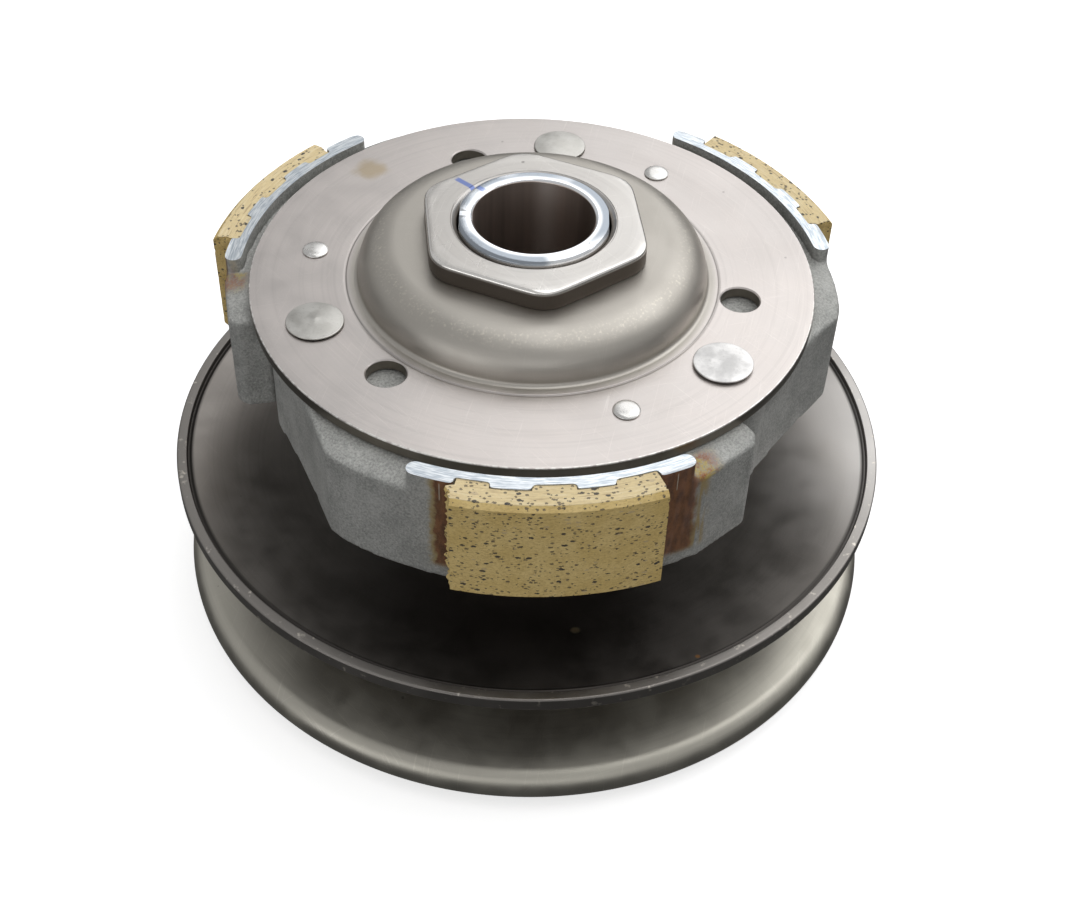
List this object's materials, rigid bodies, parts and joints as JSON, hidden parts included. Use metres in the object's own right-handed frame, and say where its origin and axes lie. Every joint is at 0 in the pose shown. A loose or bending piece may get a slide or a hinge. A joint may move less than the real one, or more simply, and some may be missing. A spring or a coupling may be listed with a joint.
{
  "type": "cvt pulley set",
  "caption": "Driven V-belt pulley for a scooter variable drive, with a sliding belt face, torque cam, contra spring and a three-shoe centrifugal clutch under a domed plate.",
  "frame": {"origin": "on the shaft axis, in the plane of the drive sleeve's lower end that the part rests on", "axes": "+Z along the shaft axis, from the belt pulley towards the clutch nut; +X and +Y in the plane of that end, with the first shoe's pivot 203 degrees round from +X"},
  "size_m": [0.1396, 0.1396, 0.0842],
  "materials": {
    "sheave_steel": "satin, oil-dark",
    "plate_steel": "satin, tumbled",
    "nut_steel": "satin",
    "sleeve_steel": "ground",
    "rivet_steel": "zinc plated",
    "cast_aluminium": "die-cast, matte",
    "friction_lining": "moulded, speckled",
    "spring_steel": "phosphated",
    "bearing_steel": "ground",
    "cage_steel": "stamped",
    "clip_steel": "black oxide",
    "seal_rubber": "matte"
  },
  "bodies": {
    "root": {"fixed_sheave": "sheave_steel", "fixed_sheave_rivets": "rivet_steel", "drive_sleeve": "sleeve_steel", "ball_bearing_outer_ring": "bearing_steel", "ball_bearing_seals": "seal_rubber", "bearing_circlip": "clip_steel", "needle_bearing_shell": "bearing_steel", "guide_pins": "bearing_steel", "contra_spring": "spring_steel", "drive_plate": "plate_steel", "clutch_nut": "nut_steel", "pivot_pins": "rivet_steel", "pivot_washers": "rivet_steel", "pivot_clips": "clip_steel", "damper_pins": "rivet_steel", "damper_rubbers": "seal_rubber"},
    "spring_seat": {"spring_seat": "clip_steel"},
    "movable_face": {"movable_sheave": "sheave_steel", "movable_hub": "sheave_steel", "movable_rivets": "rivet_steel", "hub_oil_seals": "seal_rubber", "hub_o_rings": "seal_rubber", "seal_collar": "plate_steel"},
    "bearing_inner": {"ball_bearing_inner_ring": "bearing_steel"},
    "bearing_cage": {"ball_bearing_cage": "cage_steel", "ball_bearing_balls": "bearing_steel"},
    "needle_cage": {"needle_bearing_cage": "cage_steel", "needle_bearing_rollers": "bearing_steel"},
    "guide_roller_1": {"guide_roller_1": "bearing_steel"},
    "shoe_1": {"shoe_1": "cast_aluminium", "lining_1": "friction_lining", "clutch_spring_1": "spring_steel"},
    "guide_roller_2": {"guide_roller_2": "bearing_steel"},
    "shoe_2": {"shoe_2": "cast_aluminium", "lining_2": "friction_lining", "clutch_spring_2": "spring_steel"},
    "guide_roller_3": {"guide_roller_3": "bearing_steel"},
    "shoe_3": {"shoe_3": "cast_aluminium", "lining_3": "friction_lining", "clutch_spring_3": "spring_steel"}
  },
  "joints": [
    {"name": "face_travel", "type": "slide", "parent": "root", "child": "spring_seat", "axis": [0, 0, 1], "range_m": [0, 0.0145], "stiffness_N_per_m": 4000, "springref_m": -0.004, "deforming": ["contra_spring"]},
    {"name": "cam_twist", "type": "hinge", "parent": "spring_seat", "child": "movable_face", "pos_m": [0, 0, 0.02], "axis": [0, 0, 1], "range_deg": [0, 24.1]},
    {"name": "ball_inner_spin", "type": "hinge", "parent": "root", "child": "bearing_inner", "pos_m": [0, 0, 0.0289], "axis": [0, 0, 1], "continuous": true},
    {"name": "ball_cage_spin", "type": "hinge", "parent": "root", "child": "bearing_cage", "pos_m": [0, 0, 0.0289], "axis": [0, 0, 1], "continuous": true},
    {"name": "needle_cage_spin", "type": "hinge", "parent": "root", "child": "needle_cage", "pos_m": [0, 0, 0.013], "axis": [0, 0, 1], "continuous": true},
    {"name": "guide_roller_1_spin", "type": "hinge", "parent": "root", "child": "guide_roller_1", "pos_m": [0.01628, 0.0094, 0.0488], "axis": [0.866, 0.5, 0], "range_deg": [0, 271]},
    {"name": "guide_roller_2_spin", "type": "hinge", "parent": "root", "child": "guide_roller_2", "pos_m": [-0.01628, 0.0094, 0.0488], "axis": [-0.866, 0.5, 0], "range_deg": [0, 271]},
    {"name": "guide_roller_3_spin", "type": "hinge", "parent": "root", "child": "guide_roller_3", "pos_m": [0, -0.0188, 0.0488], "axis": [0, -1, 0], "range_deg": [0, 271]},
    {"name": "shoe_1_swing", "type": "hinge", "parent": "root", "child": "shoe_1", "pos_m": [-0.03841, -0.01665, 0.058], "axis": [0, 0, -1], "range_deg": [0, 3], "stiffness_Nm_per_rad": 8, "springref_deg": -1.15, "deforming": ["clutch_spring_1"]},
    {"name": "shoe_2_swing", "type": "hinge", "parent": "root", "child": "shoe_2", "pos_m": [0.03362, -0.02493, 0.058], "axis": [0, 0, -1], "range_deg": [0, 3], "stiffness_Nm_per_rad": 8, "springref_deg": -1.15, "deforming": ["clutch_spring_2"]},
    {"name": "shoe_3_swing", "type": "hinge", "parent": "root", "child": "shoe_3", "pos_m": [0.00478, 0.04159, 0.058], "axis": [0, 0, -1], "range_deg": [0, 3], "stiffness_Nm_per_rad": 8, "springref_deg": -1.15, "deforming": ["clutch_spring_3"]}
  ],
  "couplings": [
    {"joint": "cam_twist", "follows": "face_travel", "rad_per_m": 28.888},
    {"joint": "guide_roller_1_spin", "follows": "face_travel", "rad_per_m": 325.13},
    {"joint": "guide_roller_2_spin", "follows": "face_travel", "rad_per_m": 325.13},
    {"joint": "guide_roller_3_spin", "follows": "face_travel", "rad_per_m": 325.13},
    {"joint": "ball_cage_spin", "follows": "ball_inner_spin", "ratio": 0.4}
  ]
}
